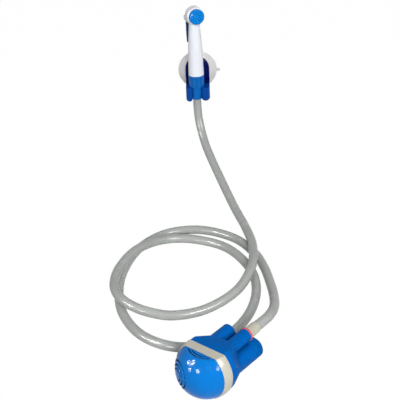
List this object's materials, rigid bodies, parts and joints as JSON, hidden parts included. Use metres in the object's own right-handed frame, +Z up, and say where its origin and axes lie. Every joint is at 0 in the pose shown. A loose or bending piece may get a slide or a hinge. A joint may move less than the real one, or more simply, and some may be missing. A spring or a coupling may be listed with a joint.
{
  "type": "camp shower pump",
  "caption": "Ball-shaped submersible camp shower pump with a slotted intake, battery tube, looped hose and a trigger hand sprayer in a suction-cup wall holder.",
  "frame": {"origin": "On the floor under the pump axis, at the front edge of the clamp band, on the pump's lower flat.", "axes": "+Z up. +Y from the pump back to the sprayer, towards the wall that the suction cup sits on. +X to the right of a viewer who faces +Y."},
  "size_m": [0.2087, 0.5645, 0.2775],
  "materials": {
    "bright_blue": "satin",
    "deep_blue": "satin",
    "cap_blue": "satin",
    "lever_blue": "satin",
    "nut_blue": "satin",
    "holder_blue": "satin",
    "warm_grey": "satin",
    "pale_plastic": "satin",
    "white_plastic": "gloss",
    "dark_plastic": "matte",
    "black_rubber": "matte",
    "red_rubber": "matte",
    "hose_grey": "satin",
    "clear_vinyl": "gloss",
    "steel": "brushed",
    "motor_can": "brushed",
    "contact_metal": "satin",
    "cell_wrap": "gloss"
  },
  "bodies": {
    "pump": {"intake_dome": "bright_blue", "intake_filter": "dark_plastic", "clamp_band": "warm_grey", "main_gasket": "black_rubber", "rear_housing": "deep_blue", "volute_cover": "pale_plastic", "volute_body": "pale_plastic", "volute_screw_1": "steel", "volute_screw_2": "steel", "volute_screw_3": "steel", "shaft_seal": "black_rubber", "motor": "motor_can", "battery_cell": "cell_wrap", "contact_spring": "contact_metal", "cap_seal": "black_rubber", "button_spring": "steel", "switch_module": "dark_plastic", "outlet_fitting": "warm_grey", "outlet_o_ring": "red_rubber", "hose": "hose_grey", "wall_holder": "holder_blue", "suction_cup": "clear_vinyl"},
    "rotor": {"impeller": "bright_blue", "motor_shaft": "steel"},
    "cap": {"battery_cap": "cap_blue", "cap_contact": "contact_metal"},
    "button": {"power_button": "pale_plastic"},
    "handset": {"handset_body": "white_plastic", "spray_face": "bright_blue", "face_gasket": "black_rubber", "trigger_pin": "steel", "valve_spring": "steel", "valve_seal": "black_rubber", "hose_nut": "nut_blue", "hose_tail": "contact_metal", "nut_washer": "black_rubber"},
    "trigger": {"trigger_lever": "lever_blue"},
    "valve": {"valve_stem": "pale_plastic"}
  },
  "joints": [
    {"name": "impeller_spin", "type": "hinge", "parent": "pump", "child": "rotor", "pos_m": [0.0011, 0.01556, 0.0262], "axis": [0.6101, 0.7923, 0], "continuous": true},
    {"name": "cap_turn", "type": "hinge", "parent": "pump", "child": "cap", "pos_m": [0.05626, 0.05765, 0.013], "axis": [0.6101, 0.7923, 0], "range_deg": [0, 90]},
    {"name": "button_press", "type": "slide", "parent": "pump", "child": "button", "axis": [-0.6101, -0.7923, 0], "range_m": [0, 0.002], "stiffness_N_per_m": 600, "springref_m": -0.001, "deforming": ["button_spring"]},
    {"name": "handset_lift", "type": "slide", "parent": "pump", "child": "handset", "axis": [-0.0366, 0, 0.9993], "range_m": [0, 0.04]},
    {"name": "trigger_pull", "type": "hinge", "parent": "handset", "child": "trigger", "pos_m": [-0.01476, 0.51791, 0.25666], "axis": [-0.9391, -0.342, -0.0344], "range_deg": [0, 9], "stiffness_Nm_per_rad": 1.2, "springref_deg": -2.86},
    {"name": "valve_push", "type": "slide", "parent": "handset", "child": "valve", "axis": [0.3418, -0.9397, 0.0125], "range_m": [0, 0.0029], "deforming": ["valve_spring"]}
  ],
  "couplings": [
    {"joint": "valve_push", "follows": "trigger_pull", "m_per_rad": 0.018}
  ]
}
